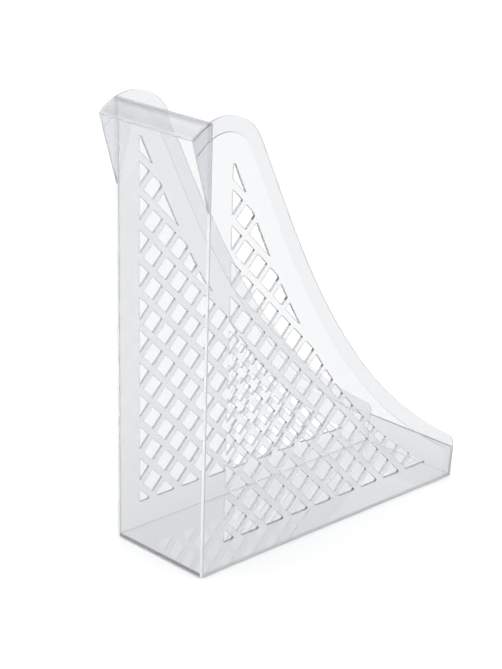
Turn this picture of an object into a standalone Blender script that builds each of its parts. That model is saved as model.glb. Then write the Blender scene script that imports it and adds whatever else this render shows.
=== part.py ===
"""Clear plastic magazine rack: a tall back, two diamond-pierced side walls and a low front.

The real rack is one injection moulding. It is modelled wall by wall, one object for each wall
of the moulding, butted with a hairline gap: spine, floor, front wall, two side walls, the curled
handle lip on top of the spine and the two gussets that close the lip's ends.

Frame: metres, +Z up, X along the depth (tall spine at -X, low front at +X), Y across the width.
The origin is under the middle of the whole rack, on the surface it stands on. Outlines are drawn
in the plane of a side wall: x from the spine's outer face towards the front, z from the floor.
"""

import math

import bmesh
import bpy
import numpy as np

# Driving dimensions
BODY_DEPTH = 0.2403         # spine's outer face to front wall's outer face, on the ground
BASE_WIDTH = 0.0822         # over the side walls at the floor
DRAFT = math.radians(0.40)  # each side wall leans out by this much, so that the rack leaves its mould
WALL = 0.002                # every wall's thickness
GAP = 0.0003                # between the walls' meeting faces
FRONT_HEIGHT = 0.0217
FRONT_LEAN = math.radians(4.0)           # the front wall leans forward

# Side wall outline: a round crown, a straight slope that flattens in a long curve, a round nose
CROWN_CENTRE = np.array((0.0117, 0.2644))
CROWN_RADIUS = 0.0338
SLOPE_TOP_ANGLE = math.radians(26.0)     # from the vertical, just under the crown
SLOPE_STRAIGHT = 0.055
SLOPE_END_ANGLE = math.radians(31.6)     # below the horizontal, just above the nose
UPPER_HANDLE = 0.125                     # the curve's two Bezier handles
LOWER_HANDLE = 0.074
NOSE_RADIUS = 0.012
NOSE_CENTRE_HEIGHT = 0.0222

# Thinner band along the free edge of each side wall and gusset, sunk into the outer face
BAND_WIDTH = 0.010
BAND_DEPTH = 0.0004

# Handle lip and gussets
LIP_OVERHANG = 0.0140       # the lip's tip behind the spine's outer face
LIP_RADIUS = 0.0467         # the lip goes on from the crown at a tangent, a little flatter
TIP_CUT = 0.55              # how far the tip's end face slopes in, for each unit of thickness
GUSSET_FOOT = 0.2405        # height at which a gusset runs out on the spine

# Lattice of diamond holes
PITCH = 0.0224              # both ways
HALF_DIAGONAL = 0.008       # of one hole
FIRST_HOLE = np.array((0.019, 0.0202))
FIELD_BACK = 0.0188         # the pierced field starts this far from the spine's outer face,
FIELD_BOTTOM = 0.0190       # this far above the ground,
FIELD_INSET = 0.0247        # and stays this far inside the slope
STRIP_COUNT = 12            # strips of holes that fall at 45 degrees, from the bottom corner up
LOW_STRIP = 8               # the strip that follows the lower slope, down to the field's tip
SHORTEST_STUB = 0.005       # a rising bar stops a strip early if its last stretch would be shorter
HOLES_EACH_WAY = 12         # columns of holes looked at, either side of the first one

# Smoothness of the round stretches, in straight runs
ARC_STEPS = 14
CURVE_STEPS = 20
LIP_STEPS = 8
CUT_MARGIN = 0.001          # how far a cutter stands out of the wall it cuts

# The nose's arc touches the leaning front edge. The lip's arc leaves the crown's at a tangent,
# straight above the corner between the lip's underside and the spine's outer face.
NOSE_CENTRE = np.array((
    BODY_DEPTH + NOSE_CENTRE_HEIGHT * math.tan(FRONT_LEAN) - NOSE_RADIUS / math.cos(FRONT_LEAN),
    NOSE_CENTRE_HEIGHT,
))
LIP_START_ANGLE = math.acos(-CROWN_CENTRE[0] / (CROWN_RADIUS - WALL))
LIP_START_OUT = np.array((math.cos(LIP_START_ANGLE), math.sin(LIP_START_ANGLE)))
LIP_CENTRE = CROWN_CENTRE + (CROWN_RADIUS - LIP_RADIUS) * LIP_START_OUT
ORIGIN_X = (NOSE_CENTRE[0] + NOSE_RADIUS - LIP_OVERHANG) / 2
CLEAR_PLASTIC = (0.86, 0.89, 0.92, 0.35)


def clear_scene():
    for item in list(bpy.data.objects):
        bpy.data.objects.remove(item, do_unlink=True)


def plastic(name):
    """A clear, glossy plastic for one wall."""
    material = bpy.data.materials.new(name)
    material.use_nodes = True
    shader = material.node_tree.nodes["Principled BSDF"]
    shader.inputs["Base Color"].default_value = CLEAR_PLASTIC[:3] + (1.0,)
    shader.inputs["Roughness"].default_value = 0.06
    shader.inputs["Metallic"].default_value = 0.0
    shader.inputs["IOR"].default_value = 1.59
    shader.inputs["Transmission Weight"].default_value = 1.0
    material.diffuse_color = CLEAR_PLASTIC
    return material


def arc(centre, radius, start, end, steps):
    """Points on a circle from one angle to another, measured from +X towards +Z."""
    angles = np.linspace(start, end, steps + 1)
    return np.stack((centre[0] + radius * np.cos(angles), centre[1] + radius * np.sin(angles)), axis=1)


def slope(inset):
    """The slope from the crown down to the nose, moved inwards by inset: points from top to bottom.

    A straight run leaves the crown's arc at a tangent. A cubic Bezier goes on from it and meets
    the nose's arc at a tangent. Each point then moves inwards along the curve's normal.
    """
    start_way = np.array((math.sin(SLOPE_TOP_ANGLE), -math.cos(SLOPE_TOP_ANGLE)))
    start_out = np.array((math.cos(SLOPE_TOP_ANGLE), math.sin(SLOPE_TOP_ANGLE)))
    end_way = np.array((math.cos(SLOPE_END_ANGLE), -math.sin(SLOPE_END_ANGLE)))
    end_out = np.array((math.sin(SLOPE_END_ANGLE), math.cos(SLOPE_END_ANGLE)))
    crown_end = CROWN_CENTRE + CROWN_RADIUS * start_out
    p0 = crown_end + SLOPE_STRAIGHT * start_way
    p3 = NOSE_CENTRE + NOSE_RADIUS * end_out
    p1 = p0 + UPPER_HANDLE * start_way
    p2 = p3 - LOWER_HANDLE * end_way
    t = np.linspace(0.0, 1.0, CURVE_STEPS + 1)[:, None]
    points = (1 - t) ** 3 * p0 + 3 * (1 - t) ** 2 * t * p1 + 3 * (1 - t) * t ** 2 * p2 + t ** 3 * p3
    ways = (1 - t) ** 2 * (p1 - p0) + 2 * (1 - t) * t * (p2 - p1) + t ** 2 * (p3 - p2)
    ways /= np.linalg.norm(ways, axis=1, keepdims=True)
    outward = np.stack((-ways[:, 1], ways[:, 0]), axis=1)
    curve = points - inset * outward
    return np.vstack((crown_end - inset * start_out, curve))


def crown_angle(x):
    """The angle at which the crown's arc passes x, on its rear side."""
    return math.acos((x - CROWN_CENTRE[0]) / CROWN_RADIUS)


def free_edge(inset, start, foot):
    """The free edge, moved inwards: crown from an angle on, slope, nose, and down to a height."""
    crown = arc(CROWN_CENTRE, CROWN_RADIUS - inset, start, SLOPE_TOP_ANGLE, ARC_STEPS)
    nose_start = math.pi / 2 - SLOPE_END_ANGLE
    nose = arc(NOSE_CENTRE, NOSE_RADIUS - inset, nose_start, -FRONT_LEAN, ARC_STEPS // 2)
    drop = nose[-1][1] - foot
    front_foot = (nose[-1][0] - drop * math.tan(FRONT_LEAN), foot)
    return np.vstack((crown[:-1], slope(inset)[:-1], nose, front_foot))


def lip_arc(inset, end_x):
    """The lip's arc, moved inwards: from where it leaves the crown to where it passes end_x."""
    radius = LIP_RADIUS - inset
    return arc(LIP_CENTRE, radius, LIP_START_ANGLE, math.acos((end_x - LIP_CENTRE[0]) / radius), LIP_STEPS)


def prism(name, outlines, low, high, material=None):
    """A closed prism over each outline (x, z), between two y values."""
    mesh = bpy.data.meshes.new(name)
    bm = bmesh.new()
    for outline in outlines:
        near = [bm.verts.new((x, low, z)) for x, z in outline]
        far = [bm.verts.new((x, high, z)) for x, z in outline]
        bm.faces.new(near)
        bm.faces.new(far[::-1])
        for i in range(len(near)):
            bm.faces.new((near[i - 1], far[i - 1], far[i], near[i]))
    bmesh.ops.recalc_face_normals(bm, faces=bm.faces)
    bm.to_mesh(mesh)
    bm.free()
    item = bpy.data.objects.new(name, mesh)
    bpy.context.scene.collection.objects.link(item)
    if material:
        mesh.materials.append(material)
    return item


def cutter(name, outlines, low, high, frame):
    """A prism that only cuts: drawn as wire and left out of the model."""
    item = prism(name, outlines, low, high)
    item.hide_render = True
    item.display_type = "WIRE"
    item.parent = frame
    return item


def add_boolean(item, operation, tool):
    modifier = item.modifiers.new(operation.lower(), "BOOLEAN")
    modifier.operation = operation
    modifier.solver = "EXACT"
    modifier.object = tool


def inner_half_width(z):
    """From the middle to a side wall's inner face, at height z."""
    return BASE_WIDTH / 2 + z * math.tan(DRAFT) - WALL / math.cos(DRAFT)


def cross_wall(name, profile, frame):
    """A wall that runs across the rack: a profile (x, z) carried from side wall to side wall."""
    item = prism(name, [profile], -1.0, 1.0, plastic(name + "_clear"))
    for vertex in item.data.vertices:
        vertex.co.y *= inner_half_width(vertex.co.z) - GAP
    item.parent = frame
    return item


def rectangle(x_low, x_high, z_low, z_high):
    return [(x_low, z_low), (x_high, z_low), (x_high, z_high), (x_low, z_high)]


def spine_top():
    """The corner where the lip's underside meets the spine's outer face."""
    return CROWN_CENTRE + (CROWN_RADIUS - WALL) * LIP_START_OUT


def lip_profile():
    """The lip's section: out along its arc to the tip, and back below it to the spine's top.

    A round of one wall's thickness turns the upper face down into the spine's inner face.
    """
    corner = spine_top()
    turn = arc(corner, WALL, 0.0, LIP_START_ANGLE, LIP_STEPS)
    upper = lip_arc(0.0, -LIP_OVERHANG)
    lower = lip_arc(WALL, -LIP_OVERHANG + WALL * TIP_CUT)
    return np.vstack((turn[:-1], upper, lower[::-1]))


def build_cross_walls(frame):
    inside_back = WALL + GAP
    inside_front = BODY_DEPTH - WALL - GAP
    lean = FRONT_HEIGHT * math.tan(FRONT_LEAN)
    front = [
        (BODY_DEPTH - WALL, 0.0),
        (BODY_DEPTH, 0.0),
        (BODY_DEPTH + lean, FRONT_HEIGHT),
        (BODY_DEPTH - WALL + lean, FRONT_HEIGHT),
    ]
    cross_wall("spine_panel", rectangle(0.0, WALL, 0.0, spine_top()[1] - GAP), frame)
    cross_wall("floor_panel", rectangle(inside_back, inside_front, 0.0, WALL), frame)
    cross_wall("front_wall", front, frame)
    cross_wall("handle_lip", lip_profile(), frame)


def side_outline():
    """A whole side wall, without its gusset."""
    return np.vstack(((0.0, 0.0), free_edge(0.0, crown_angle(0.0), 0.0)))


def gusset_outline():
    """The gusset behind the spine: up the spine, out along crown and lip, back down the diagonal."""
    root = arc(CROWN_CENTRE, CROWN_RADIUS, crown_angle(-GAP), LIP_START_ANGLE, 1)
    return np.vstack(((-GAP, GUSSET_FOOT), root[:1], lip_arc(0.0, -LIP_OVERHANG)))


def band_outline():
    """The band's cutter: from past the free edge to the band's inner border."""
    below = -CUT_MARGIN
    beyond = -LIP_OVERHANG - CUT_MARGIN
    borders = []
    for inset in (-CUT_MARGIN, BAND_WIDTH):
        rear = lip_arc(inset, beyond)[:0:-1]
        borders.append(np.vstack((rear, free_edge(inset, LIP_START_ANGLE, below))))
    return np.vstack((borders[0], borders[1][::-1]))


def field_outline():
    """The pierced field: a straight back, a straight bottom and the slope's inset curve."""
    curve = slope(FIELD_INSET)
    top = np.interp(FIELD_BACK, curve[:, 0], curve[:, 1])
    tip = np.interp(-FIELD_BOTTOM, -curve[:, 1], curve[:, 0])
    inside = curve[(curve[:, 0] > FIELD_BACK) & (curve[:, 1] > FIELD_BOTTOM)]
    return np.vstack(((FIELD_BACK, FIELD_BOTTOM), (FIELD_BACK, top), inside, (tip, FIELD_BOTTOM)))


def hole_outlines():
    """Every hole as a rectangle at 45 degrees, before it is trimmed to the field.

    With fall = x + z and rise = x - z, the holes of one strip share a range of fall. Rising bars
    part them at steps of PITCH in rise. Where a bar's last stretch in a strip would be a short
    stub, the bar stops a strip early and the two holes beside it are one slit.
    """
    curve = slope(FIELD_INSET)
    edge_rise = curve[:, 0] - curve[:, 1]
    edge_fall = curve[:, 0] + curve[:, 1]
    outlines = []
    for strip in range(STRIP_COUNT):
        low_fall = FIRST_HOLE.sum() + strip * PITCH - HALF_DIAGONAL
        high_fall = low_fall + 2 * HALF_DIAGONAL
        start = None
        for column in range(-HOLES_EACH_WAY, HOLES_EACH_WAY + 1):
            rise = FIRST_HOLE[0] - FIRST_HOLE[1] + column * PITCH
            start = rise - HALF_DIAGONAL if start is None else start
            bar = rise + PITCH / 2
            stub = (np.interp(bar, edge_rise, edge_fall) - low_fall) / math.sqrt(2)
            if strip > LOW_STRIP and 0 < stub < SHORTEST_STUB:
                continue
            outlines.append(tilted_rectangle(start, rise + HALF_DIAGONAL, low_fall, high_fall))
            start = None
    last_rise = FIRST_HOLE[0] - FIRST_HOLE[1] + LOW_STRIP * PITCH
    last_fall = FIRST_HOLE.sum() + LOW_STRIP * PITCH
    tip_rises = (last_rise - HALF_DIAGONAL, last_rise + 2 * PITCH)
    tip_falls = (last_fall - HALF_DIAGONAL, last_fall + 2 * PITCH)
    kept = [o for o in outlines if not overlaps(o, tip_rises, tip_falls)]
    return kept + [tilted_rectangle(*tip_rises, *tip_falls)]


def overlaps(outline, rises, falls):
    """True where a hole's centre lies in a range of rise and of fall."""
    x, z = np.mean(outline, axis=0)
    return rises[0] < x - z < rises[1] and falls[0] < x + z < falls[1]


def tilted_rectangle(rise_low, rise_high, fall_low, fall_high):
    corners = ((rise_low, fall_low), (rise_high, fall_low), (rise_high, fall_high), (rise_low, fall_high))
    return [((fall + rise) / 2, (fall - rise) / 2) for rise, fall in corners]


def build_side(name, side, frame):
    """One side wall and its gusset; side is -1 at -Y and +1 at +Y.

    Both are drawn upright about their outer face and then lean outwards by the draft angle.
    """
    lean = bpy.data.objects.new(name + "_side_plane", None)
    bpy.context.scene.collection.objects.link(lean)
    lean.parent = frame
    lean.location.y = side * BASE_WIDTH / 2
    lean.rotation_euler.x = -side * DRAFT

    def span(start, end):
        """Depths below the outer face as a y range."""
        return sorted((-side * start, -side * end))

    band = cutter(name + "_band_cutter", [band_outline()], *span(-CUT_MARGIN, BAND_DEPTH), lean)
    field = cutter(name + "_field", [field_outline()], *span(-2 * CUT_MARGIN, WALL + 2 * CUT_MARGIN), lean)
    holes = cutter(name + "_holes", hole_outlines(), *span(-CUT_MARGIN, WALL + CUT_MARGIN), lean)
    add_boolean(holes, "INTERSECT", field)

    wall_name = name + "_side_panel"
    wall = prism(wall_name, [side_outline()], *span(0.0, WALL), plastic(wall_name + "_clear"))
    wall.parent = lean
    add_boolean(wall, "DIFFERENCE", band)
    add_boolean(wall, "DIFFERENCE", holes)

    gusset_name = name + "_handle_gusset"
    gusset = prism(gusset_name, [gusset_outline()], *span(0.0, WALL), plastic(gusset_name + "_clear"))
    gusset.parent = lean
    add_boolean(gusset, "DIFFERENCE", band)


def main():
    clear_scene()
    frame = bpy.data.objects.new("rack_frame", None)
    bpy.context.scene.collection.objects.link(frame)
    frame.location.x = -ORIGIN_X
    build_cross_walls(frame)
    build_side("left", -1, frame)
    build_side("right", 1, frame)


main()
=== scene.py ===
"""Clear plastic magazine rack: the look of its walls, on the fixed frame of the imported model.

The rack is one injection moulding, taken to be clear polystyrene. Each wall of the moulding is
its own piece and stands for one CAD node, whose name may differ. Sizes are in metres.

A wall is drawn in its own plane: x from the spine's outer face towards the front, z up from the
floor, and a depth that starts at its outer face. A Plate collects rims and flat faces in those
three numbers, and a placing function carries them into the rack's frame.
"""

import logging
import math
from dataclasses import dataclass, field
from enum import Enum
from typing import Callable, List, Optional, Sequence, Tuple

import bmesh
import bpy
import numpy as np
from mathutils import Matrix, Vector
from mathutils.geometry import delaunay_2d_cdt


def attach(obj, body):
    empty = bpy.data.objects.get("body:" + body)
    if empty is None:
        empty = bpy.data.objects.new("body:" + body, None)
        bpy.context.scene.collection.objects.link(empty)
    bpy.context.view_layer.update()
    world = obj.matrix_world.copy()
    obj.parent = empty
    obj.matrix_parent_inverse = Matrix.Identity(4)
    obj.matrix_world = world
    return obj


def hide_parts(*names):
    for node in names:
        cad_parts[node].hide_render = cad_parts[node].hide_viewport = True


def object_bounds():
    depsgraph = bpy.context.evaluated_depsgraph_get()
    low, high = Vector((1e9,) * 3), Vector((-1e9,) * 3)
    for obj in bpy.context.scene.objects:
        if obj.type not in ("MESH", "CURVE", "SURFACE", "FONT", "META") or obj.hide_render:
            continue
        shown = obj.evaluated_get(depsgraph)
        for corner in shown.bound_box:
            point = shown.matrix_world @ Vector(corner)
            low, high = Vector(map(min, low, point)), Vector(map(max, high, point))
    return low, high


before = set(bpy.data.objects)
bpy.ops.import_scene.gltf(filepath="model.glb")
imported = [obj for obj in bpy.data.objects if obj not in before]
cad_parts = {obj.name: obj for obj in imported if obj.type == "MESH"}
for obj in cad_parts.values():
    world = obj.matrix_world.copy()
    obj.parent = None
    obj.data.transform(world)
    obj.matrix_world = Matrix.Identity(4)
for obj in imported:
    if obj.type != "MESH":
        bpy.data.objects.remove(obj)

CAD_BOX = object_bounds()
SLIVER = 1e-16          # twice the area, in square metres, under which a triangle is none
HAIR = 0.00002          # radius where two walls are flush, too small to be seen
EDGE = 0.0002           # radius along free edges
HEEL = 0.0005           # radius at the foot of the side walls, the spine and the front
log = logging.getLogger("magazine_rack")


class Side(Enum):
    """The two side walls: -1 stands at -Y and +1 at +Y."""

    LEFT = -1
    RIGHT = 1


class Tone(Enum):
    """How a surface is moulded and shaded: a rim painted pale as a painted highlight, a glossy face,
    the satin band, and a dull hole wall, whose grey also serves as painted shade.
    """

    RIM_HIGHLIGHT = -1.0
    POLISHED = 0.0
    BAND = 0.5
    SHUT_OFF_AND_PAINTED_SHADE = 1.0


# --------------------------------------------------------------------------- outlines


def left_of(ways: np.ndarray) -> np.ndarray:
    """The unit vectors that point to the left of some directions of travel."""
    return np.stack((-ways[..., 1], ways[..., 0]), axis=-1)


@dataclass(frozen=True)
class Curve:
    """A run of points in a wall's plane, with the unit normals that point out of the plastic.

    Args:
        points: One row (x, z) for each point.
        normals: One unit row for each point.
        slides: Where a point goes as the outline shrinks by one; its normal, if left out.
    """

    points: np.ndarray
    normals: np.ndarray
    slides: Optional[np.ndarray] = None

    @property
    def ways_out(self) -> np.ndarray:
        """The slides, or the normals where there are none."""
        return self.normals if self.slides is None else self.slides

    def inset(self, distance: np.ndarray) -> np.ndarray:
        """The points moved into the plastic, each against its own way out."""
        return self.points - np.asarray(distance)[..., None] * self.ways_out

    def part(self, first: int, last: int) -> "Curve":
        """The points from one index up to, but not with, another."""
        return Curve(self.points[first:last], self.normals[first:last], self.ways_out[first:last])

    def turned_round(self) -> "Curve":
        """The same curve, run the other way."""
        return Curve(self.points[::-1], self.normals[::-1], self.ways_out[::-1])


def joined(*curves: Curve) -> Curve:
    """Several curves run one after the other, as one curve."""
    rows = zip(*((c.points, c.normals, c.ways_out) for c in curves))
    return Curve(*(np.vstack(row) for row in rows))


def straight(points: Sequence[Tuple[float, float]], normal: Tuple[float, float]) -> Curve:
    """Points of one straight edge, which share one normal."""
    rows = np.array(points, dtype=float).reshape(-1, 2)
    return Curve(rows, np.tile(np.array(normal, dtype=float), (len(rows), 1)))


def arc(centre: np.ndarray, radius: float, start: float, end: float, steps: int) -> Curve:
    """Part of a circle: centre + radius * (cos a, sin a), with a evenly spaced from start to end.

    Args:
        centre: Middle of the circle.
        radius: Its radius.
        start: First angle, from the x direction.
        end: Last angle.
        steps: Straight runs between them.

    Returns:
        The arc, with its normals away from the centre.
    """
    angles = np.linspace(start, end, steps + 1)
    out = np.stack((np.cos(angles), np.sin(angles)), axis=1)
    return Curve(centre + radius * out, out)


def rounded(
    polygon: np.ndarray, radii: np.ndarray, steps: int = 4, bend: float = math.radians(14.0)
) -> Curve:
    """A closed polygon with its corners rounded, plastic on the right of the way it runs.

    A corner of turn t gets an arc of radius r that starts r * tan(t / 2) before it. The arc's
    points are centre - s * r * left(way), where the way turns evenly from the edge before to the
    edge after and s is the sign of the turn. A corner that turns by less than bend stays a point.

    Args:
        polygon: Corners (x, z).
        radii: Radius wanted at each corner; short edges make it smaller.
        steps: Straight runs in each arc.
        bend: Least turn that is rounded.

    Returns:
        The rounded outline.
    """
    edges = np.roll(polygon, -1, axis=0) - polygon
    lengths = np.linalg.norm(edges, axis=1)
    out_way = edges / lengths[:, None]
    in_way = np.roll(out_way, 1, axis=0)
    turn = np.arctan2(
        in_way[:, 0] * out_way[:, 1] - in_way[:, 1] * out_way[:, 0], np.sum(in_way * out_way, axis=1)
    )
    half = np.tan(np.abs(turn) / 2).clip(1e-6)
    room = 0.45 * np.minimum(lengths, np.roll(lengths, 1)) / half
    radius = np.minimum(radii, room)
    side = np.sign(turn)
    begin = polygon - in_way * (radius * half)[:, None]
    centre = begin + (side * radius)[:, None] * left_of(in_way)
    angles = turn[:, None] * np.linspace(0.0, 1.0, steps + 1)
    cos, sin = np.cos(angles), np.sin(angles)
    ways = np.stack(
        (
            cos * in_way[:, None, 0] - sin * in_way[:, None, 1],
            sin * in_way[:, None, 0] + cos * in_way[:, None, 1],
        ),
        axis=-1,
    )
    normals = left_of(ways)
    points = centre[:, None, :] - (side * radius)[:, None, None] * normals
    soft = np.abs(turn) < bend
    middle = steps // 2
    points[soft, middle] = polygon[soft]
    keep = np.ones(angles.shape, dtype=bool)
    keep[soft] = np.arange(steps + 1) == middle
    return Curve(points[keep], normals[keep])


def cleaned(polygon: np.ndarray, nearest: float = 6e-5) -> np.ndarray:
    """A polygon without the corners that lie nearer than that to the one before."""
    far = np.linalg.norm(polygon - np.roll(polygon, 1, axis=0), axis=1) > nearest
    return polygon[far]


def cut_by_line(polygon: np.ndarray, normal: np.ndarray, offset: float) -> np.ndarray:
    """The part of a polygon on the side of a line where point . normal is at least offset.

    Args:
        polygon: Corners (x, z), possibly none.
        normal: Direction across the line.
        offset: Distance of the line, in lengths of the normal.

    Returns:
        The corners that stay, with one more wherever an edge crosses the line.
    """
    if len(polygon) == 0:
        return polygon
    height = polygon @ normal - offset
    following = np.roll(polygon, -1, axis=0)
    next_height = np.roll(height, -1)
    crossing = (height >= 0) != (next_height >= 0)
    share = height / np.where(crossing, height - next_height, 1.0)
    crossings = polygon + share[:, None] * (following - polygon)
    stacked = np.stack((polygon, crossings), axis=1)
    keep = np.stack((height >= 0, crossing), axis=1)
    return stacked[keep]


def area(polygon: np.ndarray) -> float:
    """A polygon's area, positive where it runs anticlockwise in (x, z)."""
    following = np.roll(polygon, -1, axis=0)
    return 0.5 * float(np.sum(polygon[:, 0] * following[:, 1] - polygon[:, 1] * following[:, 0]))


def inside(points: np.ndarray, edges: np.ndarray) -> np.ndarray:
    """Which points lie inside closed outlines but not inside their holes.

    A point is inside where a ray from it towards +x crosses the edges an odd number of times.

    Args:
        points: One row (x, z) for each point.
        edges: Both ends of each edge, shaped (edges, 2, 2).

    Returns:
        True for each point inside.
    """
    a, b = edges[:, 0], edges[:, 1]
    z = points[:, 1, None]
    spans = (a[:, 1] <= z) != (b[:, 1] <= z)
    rise = np.where(spans, b[:, 1] - a[:, 1], 1.0)
    at = a[:, 0] + (z - a[:, 1]) / rise * (b[:, 0] - a[:, 0])
    return np.sum(spans & (points[:, 0, None] < at), axis=1) % 2 == 1


def crossing_of(curve: Curve, height: np.ndarray) -> Tuple[Curve, int]:
    """Finds where a curve first rises through zero of a height given at its points.

    Args:
        curve: The curve.
        height: One number for each of its points.

    Returns:
        The crossing as a curve of one point, and the index of the first point past it.
    """
    ahead = int(np.argmax(height > 1e-6))
    share = height[ahead - 1] / (height[ahead - 1] - height[ahead])
    place = curve.points[ahead - 1] + share * (curve.points[ahead] - curve.points[ahead - 1])
    normal = curve.normals[ahead - 1] * (1 - share) + curve.normals[ahead] * share
    return Curve(place[None], (normal / np.linalg.norm(normal))[None]), ahead


def resampled(points: np.ndarray, shares: np.ndarray) -> Curve:
    """Picks points at given shares of a dense curve's length.

    Args:
        points: The dense curve.
        shares: Shares of its length, from 0 to 1.

    Returns:
        The points, with normals to the left of the curve's way.
    """
    steps = np.linalg.norm(np.diff(points, axis=0), axis=1)
    along = np.concatenate(([0.0], np.cumsum(steps)))
    along /= along[-1]
    ways = np.gradient(points, along, axis=0)
    ways /= np.linalg.norm(ways, axis=1, keepdims=True)
    places = np.stack([np.interp(shares, along, points[:, k]) for k in (0, 1)], axis=1)
    ways = np.stack([np.interp(shares, along, ways[:, k]) for k in (0, 1)], axis=1)
    ways /= np.linalg.norm(ways, axis=1, keepdims=True)
    return Curve(places, left_of(ways))


@dataclass(frozen=True)
class Moulding:
    """The rack's own sizes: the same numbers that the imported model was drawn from, but for the seam.

    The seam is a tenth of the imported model's gap between walls, so that it doesn't show.
    Places are (x, z) from the foot of the spine's outer face. The side wall's free edge runs from
    the lip's tip along the lip's arc, over the crown, down the slope and round the nose. The
    pierced field follows the slope; its holes are diamonds on a square grid that stands on a corner.
    """

    body_depth: float = 0.2403
    base_width: float = 0.0822
    draft: float = math.radians(0.40)
    wall: float = 0.002
    seam: float = 0.00003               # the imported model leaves 0.3 mm
    front_height: float = 0.0217
    front_lean: float = math.radians(4.0)
    crown_centre: Tuple[float, float] = (0.0117, 0.2644)
    crown_radius: float = 0.0338
    slope_top_angle: float = math.radians(26.0)
    slope_straight: float = 0.055
    slope_end_angle: float = math.radians(31.6)
    upper_handle: float = 0.125
    lower_handle: float = 0.074
    nose_radius: float = 0.012
    nose_centre_height: float = 0.0222
    band_width: float = 0.010
    band_depth: float = 0.0004
    lip_overhang: float = 0.0140
    lip_radius: float = 0.0467
    tip_cut: float = 0.55
    gusset_foot: float = 0.2405
    pitch: float = 0.0224
    half_diagonal: float = 0.008
    first_hole: Tuple[float, float] = (0.019, 0.0202)
    field_back: float = 0.0188
    field_bottom: float = 0.0190
    field_inset: float = 0.0247
    strip_count: int = 12
    low_strip: int = 8
    shortest_stub: float = 0.005
    holes_each_way: int = 12
    least_hole: float = 1.5e-6          # square metres; a smaller trimming is left solid

    @property
    def crown(self) -> np.ndarray:
        """Centre of the crown's arc."""
        return np.array(self.crown_centre)

    @property
    def nose(self) -> np.ndarray:
        """Centre of the nose's arc, which touches the leaning front edge."""
        lean = self.front_lean
        x = self.body_depth + self.nose_centre_height * math.tan(lean) - self.nose_radius / math.cos(lean)
        return np.array((x, self.nose_centre_height))

    @property
    def lip_start(self) -> float:
        """Angle on the crown at which the lip's flatter arc leaves it."""
        return math.acos(-self.crown_centre[0] / (self.crown_radius - self.wall))

    @property
    def lip_centre(self) -> np.ndarray:
        """Centre of the lip's arc."""
        out = np.array((math.cos(self.lip_start), math.sin(self.lip_start)))
        return self.crown + (self.crown_radius - self.lip_radius) * out

    @property
    def spine_top(self) -> np.ndarray:
        """The corner where the lip's underside meets the spine's outer face."""
        out = np.array((math.cos(self.lip_start), math.sin(self.lip_start)))
        return self.crown + (self.crown_radius - self.wall) * out

    @property
    def origin_x(self) -> float:
        """From the spine's outer face to the middle of the whole rack."""
        return (self.nose[0] + self.nose_radius - self.lip_overhang) / 2

    def inner_half_width(self, z: np.ndarray) -> np.ndarray:
        """From the middle to a side wall's inner face, at height z."""
        return self.base_width / 2 + z * math.tan(self.draft) - self.wall / math.cos(self.draft)

    def slope(self, inset: float, steps: int) -> Curve:
        """The slope from the crown to the nose.

        A straight run leaves the crown at a tangent. A cubic Bezier goes on from it and meets the
        nose at a tangent. Every point then moves inwards along its normal.

        Args:
            inset: How far inwards.
            steps: Straight runs in the Bezier.

        Returns:
            The slope, from its top down.
        """
        start_way = np.array((math.sin(self.slope_top_angle), -math.cos(self.slope_top_angle)))
        end_way = np.array((math.cos(self.slope_end_angle), -math.sin(self.slope_end_angle)))
        crown_end = self.crown + self.crown_radius * left_of(start_way)
        p0 = crown_end + self.slope_straight * start_way
        p3 = self.nose + self.nose_radius * left_of(end_way)
        p1 = p0 + self.upper_handle * start_way
        p2 = p3 - self.lower_handle * end_way
        t = np.linspace(0.0, 1.0, steps + 1)[:, None]
        points = (1 - t) ** 3 * p0 + 3 * (1 - t) ** 2 * t * p1 + 3 * (1 - t) * t ** 2 * p2 + t ** 3 * p3
        ways = (1 - t) ** 2 * (p1 - p0) + 2 * (1 - t) * t * (p2 - p1) + t ** 2 * (p3 - p2)
        ways /= np.linalg.norm(ways, axis=1, keepdims=True)
        run = joined(straight([tuple(crown_end)], tuple(left_of(start_way))), Curve(points, left_of(ways)))
        return Curve(run.inset(np.full(len(run.points), inset)), run.normals)

    def rear_arcs(self, inset: float, steps: int) -> Curve:
        """From the lip's tip, along the lip and over the crown to the top of the slope.

        Args:
            inset: How far inwards.
            steps: Straight runs in the lip's arc; the crown's has twice as many.

        Returns:
            The two arcs, which share a tangent.
        """
        radius = self.lip_radius - inset
        tip = math.acos((-self.lip_overhang - self.lip_centre[0]) / radius)
        lip = arc(self.lip_centre, radius, tip, self.lip_start, steps)
        over = arc(self.crown, self.crown_radius - inset, self.lip_start, self.slope_top_angle, 2 * steps)
        return joined(lip.part(0, -1), over)

    def free_edge(self, inset: float, steps: int = 24) -> Curve:
        """The whole free edge from the lip's tip to the front foot.

        Args:
            inset: How far it is moved inwards.
            steps: Straight runs in the lip's arc; the other stretches go by it.

        Returns:
            The edge, plastic on its right.
        """
        top_angle = math.pi / 2 - self.slope_end_angle
        nose = arc(self.nose, self.nose_radius - inset, top_angle, -self.front_lean, steps // 2)
        end = nose.points[-1]
        lean = math.tan(self.front_lean)
        foot = straight([(end[0] - end[1] * lean, 0.0)], tuple(nose.normals[-1]))
        return joined(
            self.rear_arcs(inset, steps).part(0, -1), self.slope(inset, 3 * steps).part(0, -1), nose, foot
        )

    def field(self) -> np.ndarray:
        """The pierced field, anticlockwise: straight bottom, the slope's inset curve, straight back."""
        curve = self.slope(self.field_inset, 96).points
        top = np.interp(self.field_back, curve[:, 0], curve[:, 1])
        tip = np.interp(-self.field_bottom, -curve[:, 1], curve[:, 0])
        sloping = curve[(curve[:, 0] > self.field_back) & (curve[:, 1] > self.field_bottom)]
        back = [(self.field_back, top), (self.field_back, self.field_bottom)]
        return np.vstack((back, [(tip, self.field_bottom)], sloping[::-1]))

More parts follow.
